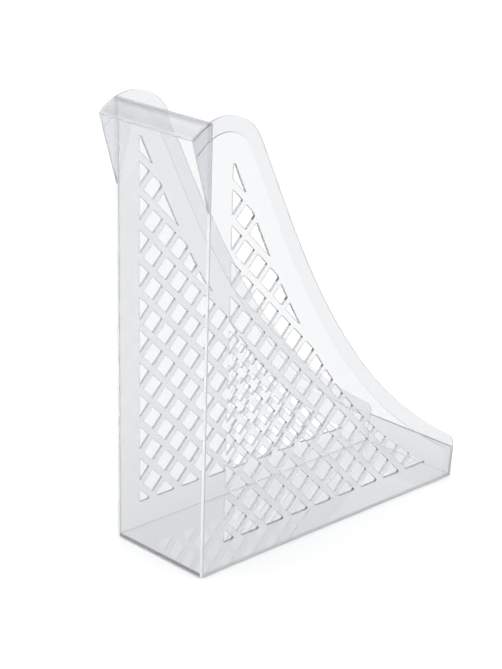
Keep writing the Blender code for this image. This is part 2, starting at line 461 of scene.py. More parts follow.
    def hole_spans(self) -> List[Tuple[float, float, float, float]]:
        """Every hole as ranges of rise = x - z and fall = x + z, before it is trimmed to the field.

        The holes of one strip share a range of fall, and rising bars part them at steps of the
        pitch. A bar whose last stretch would be a short stub stops one strip early. The one large
        hole at the field's front tip has no bars.

        Returns:
            Least and greatest rise, least and greatest fall of each hole.
        """
        curve = self.slope(self.field_inset, 96).points
        edge_rise, edge_fall = curve[:, 0] - curve[:, 1], curve[:, 0] + curve[:, 1]
        half, pitch = self.half_diagonal, self.pitch
        first_fall, first_rise = sum(self.first_hole), self.first_hole[0] - self.first_hole[1]
        last_fall, last_rise = first_fall + self.low_strip * pitch, first_rise + self.low_strip * pitch
        tip = (last_rise - half, last_rise + 2 * pitch, last_fall - half, last_fall + 2 * pitch)
        spans = [tip]
        for strip in range(self.strip_count):
            low = first_fall + strip * pitch - half
            start = None
            for column in range(-self.holes_each_way, self.holes_each_way + 1):
                rise = first_rise + column * pitch
                start = rise - half if start is None else start
                stub = (np.interp(rise + pitch / 2, edge_rise, edge_fall) - low) / math.sqrt(2)
                if strip > self.low_strip and 0 < stub < self.shortest_stub:
                    continue
                span = (start, rise + half, low, low + 2 * half)
                start = None
                middle_rise, middle_fall = (span[0] + span[1]) / 2, (span[2] + span[3]) / 2
                if not (tip[0] < middle_rise < tip[1] and tip[2] < middle_fall < tip[3]):
                    spans.append(span)
        return spans

    def holes(self, corner: float) -> List[Curve]:
        """Every hole, trimmed to the field.

        Args:
            corner: Radius of the holes' corners.

        Returns:
            The outlines, plastic on their right.
        """
        whole = self.field()
        rise, fall = np.array((1.0, -1.0)), np.array((1.0, 1.0))
        found = []
        for rise_low, rise_high, fall_low, fall_high in self.hole_spans():
            sides = ((rise, rise_low), (-rise, -rise_high), (fall, fall_low), (-fall, -fall_high))
            shape = whole
            for normal, offset in sides:
                shape = cut_by_line(shape, normal, offset)
            shape = cleaned(shape) if len(shape) else shape
            if len(shape) > 2 and area(shape) > self.least_hole:
                found.append(rounded(shape, np.full(len(shape), corner)))
        return found


# --------------------------------------------------------------------------- plates

Placing = Callable[[np.ndarray, np.ndarray], Tuple[np.ndarray, np.ndarray]]


@dataclass
class Plate:
    """A closed solid between two flat faces: rims carried along outlines, and the faces between.

    Every vertex is a row (x, z, depth) with one normal in the same three directions, and a tone
    that tells the material how it was moulded and where light and shade are painted: see Tone.
    """

    thickness: float
    vertices: List[np.ndarray] = field(default_factory=list)
    normals: List[np.ndarray] = field(default_factory=list)
    tones: List[np.ndarray] = field(default_factory=list)
    faces: List[Sequence[int]] = field(default_factory=list)
    count: int = 0

    def add_rows(self, points: np.ndarray, normals: np.ndarray, tone: np.ndarray) -> np.ndarray:
        """Adds a grid of vertices.

        Args:
            points: Rows (x, z, depth), shaped (rows, columns, 3).
            normals: The same shape.
            tone: Tone of each, or anything that spreads to the grid.

        Returns:
            The grid of their indices.
        """
        shape = points.shape[:2]
        self.vertices.append(points.reshape(-1, 3))
        self.normals.append(normals.reshape(-1, 3))
        self.tones.append(np.broadcast_to(tone, shape).reshape(-1))
        index = self.count + np.arange(shape[0] * shape[1]).reshape(shape)
        self.count += index.size
        return index

    def add_grid_faces(self, index: np.ndarray, closed: bool) -> None:
        """Quads between neighbouring rows and columns.

        Args:
            index: Grid of vertex indices.
            closed: Whether the last column joins the first.
        """
        following = np.roll(index, -1, axis=1)
        last = None if closed else -1
        quads = np.stack(
            (index[:-1, :last], following[:-1, :last], following[1:, :last], index[1:, :last]), axis=-1
        )
        self.faces.extend(quads.reshape(-1, 4).tolist())

    def add_rim(
        self,
        curve: Curve,
        outer_round: np.ndarray,
        inner_round: np.ndarray,
        start_depth: np.ndarray,
        tone: np.ndarray,
        wall_tone: np.ndarray = np.zeros(1),
        inner_tone: float = 0.0,
        steps: int = 3,
    ) -> np.ndarray:
        """Carries the edge's profile round a closed outline.

        The profile leaves the outer face with a quarter round of radius outer_round, goes straight
        through the thickness, and turns into the inner face with one of radius inner_round. At
        angle a of a quarter round of radius r the inset is r * (1 - sin a) and the depth below the
        face is r * (1 - cos a).

        Args:
            curve: The closed outline.
            outer_round: Radius at the outer face, for each point.
            inner_round: Radius at the inner face, for each point.
            start_depth: Depth of the outer face, for each point.
            tone: Tone of the profile's first row, on the outer face.
            wall_tone: Tone of the rows between, for each point or for all.
            inner_tone: Tone of the last row, on the inner face.
            steps: Straight runs in each quarter round.

        Returns:
            Indices, one row for each point of the profile, from the outer face to the inner face.
        """
        angle = np.linspace(0.0, math.pi / 2, steps + 1)[:, None]
        across, down = 1 - np.sin(angle), 1 - np.cos(angle)
        inset = np.vstack((across * outer_round, (across * inner_round)[::-1]))
        depth = np.vstack((start_depth + down * outer_round, (self.thickness - down * inner_round)[::-1]))
        lean = np.concatenate((-np.cos(angle), np.cos(angle)[::-1]))[:, :, None]
        flat = np.concatenate((np.sin(angle), np.sin(angle)[::-1]))[:, :, None]
        plan = curve.inset(inset)
        points = np.concatenate((plan, depth[..., None]), axis=-1)
        normals = np.concatenate(
            (flat * curve.normals[None], np.broadcast_to(lean, depth.shape + (1,))), axis=-1
        )
        tones = np.tile(tone, (2 * steps + 2, 1))
        tones[1:] = wall_tone
        tones[-1] = inner_tone
        index = self.add_rows(points, normals, tones)
        self.add_grid_faces(index, closed=True)
        return index

    def add_flat_face(self, outline: np.ndarray, holes: Sequence[np.ndarray]) -> None:
        """Fills a flat face with triangles.

        Args:
            outline: Loop of vertex indices round the face.
            holes: Loops of vertex indices round its holes.
        """
        loops = [np.asarray(outline)] + [np.asarray(hole) for hole in holes]
        chosen = np.concatenate(loops)
        stored = np.concatenate(self.vertices)
        plan = stored[chosen][:, :2]
        starts = np.cumsum([0] + [len(loop) for loop in loops[:-1]])
        edges = np.concatenate(
            [
                np.stack((np.arange(len(loop)), np.roll(np.arange(len(loop)), -1)), axis=1) + start
                for loop, start in zip(loops, starts)
            ]
        )
        # In centimetres, because the triangulation's vectors hold single precision
        flat = [Vector((float(x), float(z))) for x, z in plan * 100.0]
        made, _, triangles, origin, _, _ = delaunay_2d_cdt(flat, edges.tolist(), [], 0, 1e-7, True)
        if len(made) != len(flat):
            log.warning("a flat face has %d corners and got %d", len(flat), len(made))
        source = np.array([given[0] if len(given) else -1 for given in origin])
        corners = source[np.array(triangles, dtype=int).reshape(-1, 3)]
        a, b, c = plan[corners[:, 0]], plan[corners[:, 1]], plan[corners[:, 2]]
        size = np.abs((b - a)[:, 0] * (c - a)[:, 1] - (b - a)[:, 1] * (c - a)[:, 0])
        kept = corners[(size > SLIVER) & inside((a + b + c) / 3, plan[edges])]
        self.faces.extend(chosen[kept].tolist())

    def make(self, name: str, place: Placing) -> bpy.types.Object:
        """Turns what was collected into an object.

        Args:
            name: Name of the object.
            place: Carries vertices and normals from the wall's own directions into the frame.

        Returns:
            The object, at the origin, with its place in its mesh.
        """
        points, normals = place(np.concatenate(self.vertices), np.concatenate(self.normals))
        mesh = bpy.data.meshes.new(name)
        mesh.from_pydata(points, [], self.faces)
        mesh.update()
        work = bmesh.new()
        work.from_mesh(mesh)
        bmesh.ops.recalc_face_normals(work, faces=work.faces)
        if work.calc_volume(signed=True) < 0:
            bmesh.ops.reverse_faces(work, faces=work.faces)
        loose = sum(1 for edge in work.edges if not edge.is_manifold)
        work.to_mesh(mesh)
        work.free()
        if loose:
            log.warning("%s has %d open edges", name, loose)
        mesh.shade_smooth()
        mesh.normals_split_custom_set_from_vertices(normals / np.linalg.norm(normals, axis=1, keepdims=True))
        tone = mesh.attributes.new("mould_and_painted_light_tone", "FLOAT", "POINT")
        tone.data.foreach_set("value", np.concatenate(self.tones).astype(np.float32))
        item = bpy.data.objects.new(name, mesh)
        bpy.context.scene.collection.objects.link(item)
        return item


# --------------------------------------------------------------------------- material


def linear(colour: str) -> Tuple[float, float, float, float]:
    """Turns a colour linear: c / 12.92 up to 0.04045, and ((c + 0.055) / 1.055) ** 2.4 above it.

    Args:
        colour: sRGB as #rrggbb.

    Returns:
        Linear red, green and blue, and an alpha of 1.
    """
    parts = np.array([int(colour.lstrip("#")[k:k + 2], 16) / 255 for k in (0, 2, 4)])
    low, high = parts / 12.92, ((parts + 0.055) / 1.055) ** 2.4
    red, green, blue = np.where(parts <= 0.04045, low, high)
    return float(red), float(green), float(blue), 1.0


def add_node(tree: bpy.types.NodeTree, kind: str, settings: dict = None, **links: object) -> bpy.types.Node:
    """Adds a node.

    Args:
        tree: Node tree that gets it.
        kind: Blender's name of the node type.
        settings: Properties by name, and input values by the socket's name or number.
        links: Sockets that feed the inputs, by the input's name with _ for a space.

    Returns:
        The node.
    """
    node = tree.nodes.new(kind)
    for key, value in (settings or {}).items():
        if isinstance(key, int) or key in node.inputs:
            node.inputs[key].default_value = value
        else:
            setattr(node, key, value)
    for key, source in links.items():
        name = key.replace("_", " ").strip()
        place = int(name[5:]) if name.startswith("input") else name
        tree.links.new(source, node.inputs[place])
    return node


@dataclass(frozen=True)
class ClearPolystyrene:
    """Moulded clear polystyrene.

    Glossy on its faces, a little satin along the band, and dull grey on the walls of the holes. That
    grey is partly a rougher finish and partly painted shade for the holes' dark edges.
    It absorbs a little more red than blue. Shallow waves bend what is seen through a wall.

    Some of the shading is painted on, not worked out from the plastic. A real rim is bright with
    light piped along the wall: here a rim is a pale scattering surface. The dark seam of a gusset
    and the dark turn of the lip are tones, and the walls there are no thicker. Colours, haze and
    absorption were matched and aren't measured values of polystyrene. Light that casts
    shadows passes straight through, so a wall's shadow is paler than a real one.

    Args:
        name: Name of the material.
        body_colour: What one polished surface lets through.
        band_colour: What the etched band lets through.
        shut_off_and_painted_shade_colour: What the walls of the holes let through, and the painted shade at
            a gusset's
        seam, in the lip's turn and along the band's step.
        rim_highlight_colour: What a rim scatters: a painted highlight in place of light piped along the
            wall.
        absorption_colour: Colour of the plastic in depth.
        absorption_density: Its density, per metre.
        refraction: Index of refraction.
        clarity: Share of the light that isn't scattered by the surface's faint haze.
        rim_clarity: The same at a rim, low so that the rim scatters its pale colour: a painted highlight.
        gloss_roughness: Roughness against polished steel.
        shut_off_roughness: Roughness where steel met steel.
        flow_scale: Waves of the melt's flow in a metre.
        flow_depth: Their depth.
        flow_strength: How much of their slope shows.
        painted_shade_from: x at which a painted darkening starts.
        painted_shade_to: x at which it is full.
        painted_shade_tone: Tone that it adds.
    """

    name: str = "moulded_clear_polystyrene"
    body_colour: str = "#ecedee"
    band_colour: str = "#e1e2e4"
    shut_off_and_painted_shade_colour: str = "#ced0d4"
    rim_highlight_colour: str = "#f7f7f8"
    absorption_colour: str = "#d0d3d7"
    absorption_density: float = 4.0
    refraction: float = 1.59
    clarity: float = 0.955
    rim_clarity: float = 0.3
    gloss_roughness: float = 0.012
    shut_off_roughness: float = 0.12
    flow_scale: float = 30.0
    flow_depth: float = 0.00003
    flow_strength: float = 0.2
    painted_shade_from: float = -0.5
    painted_shade_to: float = -0.4
    painted_shade_tone: float = 0.0

    def make(self) -> bpy.types.Material:
        """Builds the material's nodes.

        Returns:
            The material, for walls that carry the attribute mould_and_painted_light_tone.
        """
        material = bpy.data.materials.new(self.name)
        material.use_nodes = True
        tree = material.node_tree
        tree.nodes.clear()
        place = add_node(tree, "ShaderNodeTexCoord")
        # The tone carries the moulded finish and the painted light and shade
        moulded = add_node(tree, "ShaderNodeAttribute", {"attribute_name": "mould_and_painted_light_tone"})
        flow = add_node(
            tree, "ShaderNodeTexNoise", {"Scale": self.flow_scale, "Detail": 1.0, "Roughness": 0.4},
            Vector=place.outputs["Object"],
        )
        bump = add_node(
            tree, "ShaderNodeBump", {"Strength": self.flow_strength, "Distance": self.flow_depth},
            Height=flow.outputs["Fac"],
        )
        # Painted darkening towards the spine; the wall itself keeps its thickness
        split = add_node(tree, "ShaderNodeSeparateXYZ", {}, Vector=place.outputs["Object"])
        painted_shade_ramp = add_node(
            tree, "ShaderNodeMapRange",
            {"From Min": self.painted_shade_from, "From Max": self.painted_shade_to, "To Max": self.painted_shade_tone},
            Value=split.outputs["X"],
        )
        tone = add_node(
            tree, "ShaderNodeMath", {"operation": "ADD"},
            input0=moulded.outputs["Fac"], input1=painted_shade_ramp.outputs["Result"],
        )
        # Tones run from -1 to 1, and a ramp from 0 to 1
        level = add_node(
            tree, "ShaderNodeMapRange", {"From Min": Tone.RIM_HIGHLIGHT.value}, Value=tone.outputs["Value"]
        )
        colour = add_node(tree, "ShaderNodeValToRGB", {}, Fac=level.outputs["Result"])
        stops = colour.color_ramp.elements
        shades = (self.rim_highlight_colour, self.body_colour, self.band_colour, self.shut_off_and_painted_shade_colour)
        for middle in (Tone.POLISHED, Tone.BAND):
            stops.new((middle.value - Tone.RIM_HIGHLIGHT.value) / 2)
        for stop, shade in zip(stops, shades):
            stop.color = linear(shade)
        # Rims let little through and scatter their pale colour: a painted highlight in place of light piped
        # along the wall
        clarity = add_node(
            tree, "ShaderNodeMapRange",
            {"From Max": 0.5, "To Min": self.rim_clarity, "To Max": self.clarity},
            Value=level.outputs["Result"],
        )
        rough = add_node(
            tree, "ShaderNodeMapRange", {"To Min": self.gloss_roughness, "To Max": self.shut_off_roughness},
            Value=tone.outputs["Value"],
        )
        shader = add_node(
            tree, "ShaderNodeBsdfPrincipled",
            {"IOR": self.refraction},
            Base_Color=colour.outputs["Color"], Roughness=rough.outputs["Result"],
            Transmission_Weight=clarity.outputs["Result"], Normal=bump.outputs["Normal"],
        )
        # Light on its way to a shadow passes untinted, as if the wall weren't there
        clear = add_node(tree, "ShaderNodeBsdfTransparent", {"Color": linear("#ffffff")})
        path = add_node(tree, "ShaderNodeLightPath")
        surface = add_node(
            tree, "ShaderNodeMixShader", {}, input0=path.outputs["Is Shadow Ray"],
            input1=shader.outputs["BSDF"], input2=clear.outputs["BSDF"],
        )
        inside_wall = add_node(
            tree, "ShaderNodeVolumeAbsorption",
            {"Color": linear(self.absorption_colour), "Density": self.absorption_density},
        )
        add_node(
            tree, "ShaderNodeOutputMaterial", {},
            Surface=surface.outputs["Shader"], Volume=inside_wall.outputs["Volume"],
        )
        return material


@dataclass(frozen=True)
class PaleBoard:
    """White painted board: matt, with a trace of gloss from the paint's binder."""

    name: str = "white_painted_board"
    colour: str = "#fbfbfb"
    roughness: float = 0.35
    gloss: float = 0.3

    def make(self) -> bpy.types.Material:
        """Sets the board's one shader.

        Returns:
            The material.
        """
        material = bpy.data.materials.new(self.name)
        material.use_nodes = True
        shader = material.node_tree.nodes["Principled BSDF"]
        shader.inputs["Base Color"].default_value = linear(self.colour)
        shader.inputs["Roughness"].default_value = self.roughness
        shader.inputs["Specular IOR Level"].default_value = self.gloss
        return material


# --------------------------------------------------------------------------- walls


def dress(item: bpy.types.Object, material: bpy.types.Material, *nodes: str) -> None:
    """Gives a finished wall its material and its body, and hides the nodes it stands for.

    Args:
        item: The wall.
        material: Its plastic.
        nodes: Names of the CAD nodes that it replaces.
    """
    item.data.materials.append(material)
    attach(item, "root")
    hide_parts(*nodes)
    log.info("%s: %d faces, stands for %s", item.name, len(item.data.polygons), ", ".join(nodes))


@dataclass
class SideWall:
    """One side wall and the gusset that continues it behind the spine.

    Args:
        side: Which of the two.
        sizes: The moulding's sizes.
        hole_corner: Radius of the holes' corners.
        tip_round: Radius of the gusset's corner at the lip's tip.
        step_width: Width of the curved step down to the band.
        step_rows: Rows of vertices across the step.
        step_tone: Tone that the middle of the step adds: a fine line of painted shade along the band.
        free_tone: Tone of the free edges' rims, painted pale: a painted highlight.
        heel_end: Height at which the spine's edge is straight above the heel.
        flush_run: Length below the gusset in which the rounding fades.
        gusset_run: Length up the seam from the gusset's foot to the next vertex.
        foot_run: The same along the diagonal.
    """

    side: Side
    sizes: Moulding
    hole_corner: float = 0.0003
    tip_round: float = 0.00026
    step_width: float = 0.0004
    step_rows: int = 6
    step_tone: float = 0.9
    free_tone: float = 0.6 * Tone.RIM_HIGHLIGHT.value
    heel_end: float = 0.0012
    flush_run: float = 0.0006
    gusset_run: float = 0.004
    foot_run: float = 0.002

    @property
    def label(self) -> str:
        """left or right."""
        return self.side.name.lower()

    def place(self, points: np.ndarray, normals: np.ndarray) -> Tuple[np.ndarray, np.ndarray]:
        """Leans the wall outwards by the draft angle about its foot, and puts it on its side.

        Args:
            points: Rows (x, z, depth).
            normals: The same.

        Returns:
            Both in the rack's frame.
        """
        sin, cos, side = math.sin(self.sizes.draft), math.cos(self.sizes.draft), self.side.value
        turn = np.array(((1.0, 0.0, 0.0), (0.0, side * sin, cos), (0.0, -side * cos, sin)))
        shift = np.array((-self.sizes.origin_x, side * self.sizes.base_width / 2, 0.0))
        return points @ turn + shift, normals @ turn

    def step(self) -> Tuple[np.ndarray, np.ndarray, np.ndarray, np.ndarray]:
        """The step's profile: depth is the band's depth times t * t * (3 - 2 t) across its width.

        Returns:
            Distances outwards from the band's inner border, depths, slopes and tones.
        """
        t = np.linspace(0.0, 1.0, self.step_rows)
        share = t * t * (3 - 2 * t)
        slope = self.sizes.band_depth * 6 * t * (1 - t) / self.step_width
        # The band's tone, plus a line of painted shade along the middle of the step
        tone = np.minimum(Tone.BAND.value * share + self.step_tone * 4 * t * (1 - t), Tone.SHUT_OFF_AND_PAINTED_SHADE.value)
        return t * self.step_width, self.sizes.band_depth * share, slope, tone

    def banded_plate(
        self,
        edge: Curve,
        border: np.ndarray,
        before: Curve,
        before_round: Tuple[np.ndarray, np.ndarray],
        before_tone: np.ndarray,
        start_way: np.ndarray,
        end_way: np.ndarray,
        inner_round: np.ndarray,
        holes: Sequence[Curve],
    ) -> Plate:
        """A wall whose free edge has the sunk band along it.

        Args:
            edge: The free edge, with the rounded corners at both its ends.
            border: Dense points of the band's inner border, in the same direction.
            before: The other edges, from the band's far end round to its near end.
            before_round: Outer and inner rounding along those edges.
            before_tone: Tone of those edges' walls.
            start_way: Unit direction, away from the border, of the straight edge at the near end.
            end_way: The same at the far end.
            inner_round: Inner rounding along the free edge.
            holes: Holes through the wall.

        Returns:
            The plate.
        """
        sizes, plate = self.sizes, Plate(self.sizes.wall)
        away, depth, slope, step_tone = self.step()
        # The border's points keep their distance from the rounded corners at its ends
        gaps = np.linalg.norm(np.diff(edge.points, axis=0), axis=1)
        shares = np.concatenate(([0.0], np.cumsum(gaps)))
        margin = 4 * EDGE / float(np.sum(np.linalg.norm(np.diff(border, axis=0), axis=1)))
        shares = margin + (1 - 2 * margin) * shares / shares[-1]
        shares[[0, -1]] = 0.0, 1.0
        inner = resampled(border, shares)
        ways = inner.normals.copy()
        ways[0] = start_way / float(start_way @ inner.normals[0])
        ways[-1] = end_way / float(end_way @ inner.normals[-1])
        near = Curve(inner.points[0] + away[:, None] * ways[0], np.tile(before.normals[-1], (len(away), 1)))
        far = Curve(inner.points[-1] + away[:, None] * ways[-1], np.tile(before.normals[0], (len(away), 1)))
        outline = joined(near, edge, far.turned_round(), before)
        rows, columns, others = len(away), len(edge.points), len(before.points)

        def around(near_value: float, run: np.ndarray, far_value: float, rest: np.ndarray) -> np.ndarray:
            """One number for each point of the outline: near step, free edge, far step, the rest."""
            return np.concatenate((np.full(rows, near_value), run, np.full(rows, far_value), rest))

        outer, inward = before_round
        outer_round = around(outer[-1], np.full(columns, EDGE), outer[0], outer)
        inside_round = around(inward[-1], inner_round, inward[0], inward)
        wall_tone = around(self.free_tone, np.full(columns, self.free_tone), self.free_tone, before_tone)
        start_depth = np.concatenate(
            (depth, np.full(columns, sizes.band_depth), depth[::-1], np.zeros(others))
        )
        tone = Tone.BAND.value * start_depth / sizes.band_depth
        rim = plate.add_rim(outline, outer_round, inside_round, start_depth, tone, wall_tone)
        # The step: rows from the inner border out, between the rim's two ends
        plan = inner.points[None] + away[:, None, None] * ways[None]
        spread = plan.shape[:2] + (1,)
        points = np.concatenate((plan, np.broadcast_to(depth[:, None, None], spread)), axis=-1)
        tilt = np.broadcast_to(slope[:, None, None], spread)
        normals = np.concatenate((tilt * inner.normals[None], -np.ones_like(tilt)), axis=-1)
        index = plate.add_rows(points[:, 1:-1], normals[:, 1:-1], step_tone[:, None])
        far_end = rim[0, rows + columns:2 * rows + columns][::-1]
        index = np.hstack((rim[0, :rows, None], index, far_end[:, None]))
        plate.add_grid_faces(index, closed=False)
        self.band_face(plate, index[-1], rim[0, rows:rows + columns])
        # Hole walls: a duller finish, and their grey is also painted shade for the holes' dark edges
        dull = np.array([Tone.SHUT_OFF_AND_PAINTED_SHADE.value])
        rims = []
        for hole in holes:
            level, radius = np.zeros(len(hole.points)), np.full(len(hole.points), EDGE)
            rims.append(plate.add_rim(hole, radius, radius, level, level, dull, steps=2))
        main = np.concatenate((index[0], rim[0, 2 * rows + columns:]))
        plate.add_flat_face(main, [hole[0] for hole in rims])
        plate.add_flat_face(rim[-1], [hole[-1] for hole in rims])
        return plate

    @staticmethod
    def band_face(plate: Plate, inner: np.ndarray, outer: np.ndarray) -> None:
        """Quads between the step's last row and the rim's first, column by column.

        Args:
            plate: The plate that gets them.
            inner: Indices along the step, whose second column is the rim's own corner.
            outer: Indices along the rim.
        """
        plate.faces.append((int(inner[0]), int(inner[1]), int(outer[1]), int(outer[0])))
        quads = np.stack((inner[1:-1], inner[2:], outer[2:], outer[1:-1]), axis=-1)
        plate.faces.extend(quads.tolist())

    def panel(self) -> Plate:
        """The side wall in front of the spine's outer face.

        Returns:
            The pierced plate.
        """
        sizes = self.sizes
        up, back = np.array((0.0, 1.0)), np.array((-1.0, 0.0))
        run = self.from_x(sizes.free_edge(0.0), 0.0)
        border = self.from_x(sizes.free_edge(sizes.band_width), 0.0).points
        top = self.seam_corner(run.points[0], up, -left_of(run.normals[0]), run.normals[0])
        foot = self.corner(run.points[-1], -left_of(run.normals[-1]), back, HEEL)
        edge = joined(top, run.part(1, -1), foot)
        heel = self.corner(np.array((0.0, 0.0)), back, up, HEEL)
        heights = (self.heel_end, sizes.gusset_foot - self.flush_run, sizes.gusset_foot + EDGE)
        before = joined(heel, straight([(0.0, height) for height in heights], (-1.0, 0.0)))
        outer = np.full(len(before.points), EDGE)
        outer[-1] = HAIR
        inner = np.full(len(before.points), HAIR)
        # The inner edge is rounded only where no other wall meets it
        free = (edge.points[:, 0] > 1.5 * sizes.wall) & (edge.points[:, 1] > sizes.front_height)
        # The rims along the seam and the heel are painted pale: a painted highlight
        return self.banded_plate(
            edge, border, before, (outer, inner), np.full(len(outer), Tone.RIM_HIGHLIGHT.value), up, -back,
            np.where(free, EDGE, HAIR), sizes.holes(self.hole_corner),
        )

    @staticmethod
    def corner(
        place: np.ndarray, way_in: np.ndarray, way_out: np.ndarray, radius: float, steps: int = 4
    ) -> Curve:
        """One rounded corner, as rounded() makes them.

        Args:
            place: The sharp corner.
            way_in: Unit direction of travel before it, plastic on the right.
            way_out: The same after it.
            radius: Radius of the arc.
            steps: Straight runs in the arc.

        Returns:
            The arc.
        """
        turn = math.atan2(way_in[0] * way_out[1] - way_in[1] * way_out[0], float(way_in @ way_out))
        side = math.copysign(1.0, turn)
        begin = place - way_in * radius * math.tan(abs(turn) / 2)
        centre = begin + side * radius * left_of(way_in)
        start = math.atan2(way_in[1], way_in[0])
        angles = start + turn * np.linspace(0.0, 1.0, steps + 1)
        normals = left_of(np.stack((np.cos(angles), np.sin(angles)), axis=1))
        return Curve(centre - side * radius * normals, normals)

    def seam_corner(
        self, place: np.ndarray, way_in: np.ndarray, way_out: np.ndarray, edge: np.ndarray
    ) -> Curve:
        """The corner where the free edge runs square into an upright seam.

        Its points slide down the seam as the outline shrinks, so that the rounding doesn't fold.

        Args:
            place: The sharp corner.
            way_in: Unit direction of travel before it.
            way_out: The same after it.
            edge: The free edge's normal there.

        Returns:
            The corner.
        """
        sharp = self.corner(place, way_in, way_out, HAIR, steps=1)
        slide = np.array((0.0, 1.0 / edge[1]))
        return Curve(sharp.points, sharp.normals, np.tile(slide, (len(sharp.points), 1)))

    @staticmethod
    def from_x(curve: Curve, x: float) -> Curve:
        """The part of the free edge in front of the plane x, starting exactly on it."""
        first, ahead = crossing_of(curve, curve.points[:, 0] - x)
        return joined(first, curve.part(ahead, len(curve.points)))

    @staticmethod
    def up_to_x(curve: Curve, x: float) -> Curve:
        """The part of the free edge behind the plane x, ending exactly on it."""
        last, ahead = crossing_of(curve, curve.points[:, 0] - x)
        return joined(curve.part(0, ahead), last)

    @staticmethod
    def under_line(curve: Curve, start: np.ndarray, way: np.ndarray) -> Curve:
        """The part of the free edge on the plastic's side of a line.

        Args:
            curve: The free edge.
            start: A point of the line.
            way: The line's unit direction, plastic on the right.

        Returns:
            The part, starting exactly on the line.
        """
        depth = (start - curve.points) @ left_of(way)
        if depth[0] > 0:
            return curve
        first, ahead = crossing_of(curve, depth)
        return joined(first, curve.part(ahead, len(curve.points)))

    def gusset(self) -> Plate:
        """The gusset behind the spine: the diagonal, the lip's arc, and down the seam.

        Returns:
            The plate.
        """
        sizes = self.sizes
        seam, whole = -sizes.seam, sizes.free_edge(0.0)
        tip = np.array((-sizes.lip_overhang, whole.points[0, 1]))
        foot = np.array((seam, sizes.gusset_foot))
        diagonal = (tip - foot) / np.linalg.norm(tip - foot)
        down = np.array((0.0, -1.0))
        run = self.up_to_x(whole, seam)
        deep = self.under_line(sizes.free_edge(sizes.band_width), foot, diagonal)
        start = self.corner(tip, diagonal, -left_of(run.normals[0]), self.tip_round)
        end = self.seam_corner(run.points[-1], -left_of(run.normals[-1]), down, run.normals[-1])
        before = joined(
            straight([(seam, sizes.gusset_foot + self.gusset_run)], (1.0, 0.0)),
            self.corner(foot, down, diagonal, 2 * HAIR),
            straight([tuple(foot + diagonal * self.foot_run)], tuple(left_of(diagonal))),
        )
        rounding = np.full(len(before.points), HAIR)
        rounding[-1] = EDGE
        on_seam = before.normals[:, 0] > 0.9
        edge = joined(start, run.part(1, -1), end)
        # Painted shade along the seam with the spine, and rims painted pale elsewhere
        return self.banded_plate(
            edge, self.up_to_x(deep, seam).points, before, (rounding, rounding),
            np.where(on_seam, Tone.SHUT_OFF_AND_PAINTED_SHADE.value, self.free_tone), diagonal, -down,
            np.full(len(edge.points), HAIR), [],
        )

    def build(self, clear: bpy.types.Material, ear: bpy.types.Material) -> None:
        """Makes both pieces of this side and dresses them.

        Args:
            clear: Plastic of the side wall.
            ear: A darker copy of the plastic, for the gusset: painted shade.
        """
        panel = self.panel().make(self.label + "_side_wall", self.place)
        dress(panel, clear, self.label + "_side_panel")
        gusset = self.gusset().make(self.label + "_gusset", self.place)
        dress(gusset, ear, self.label + "_handle_gusset")


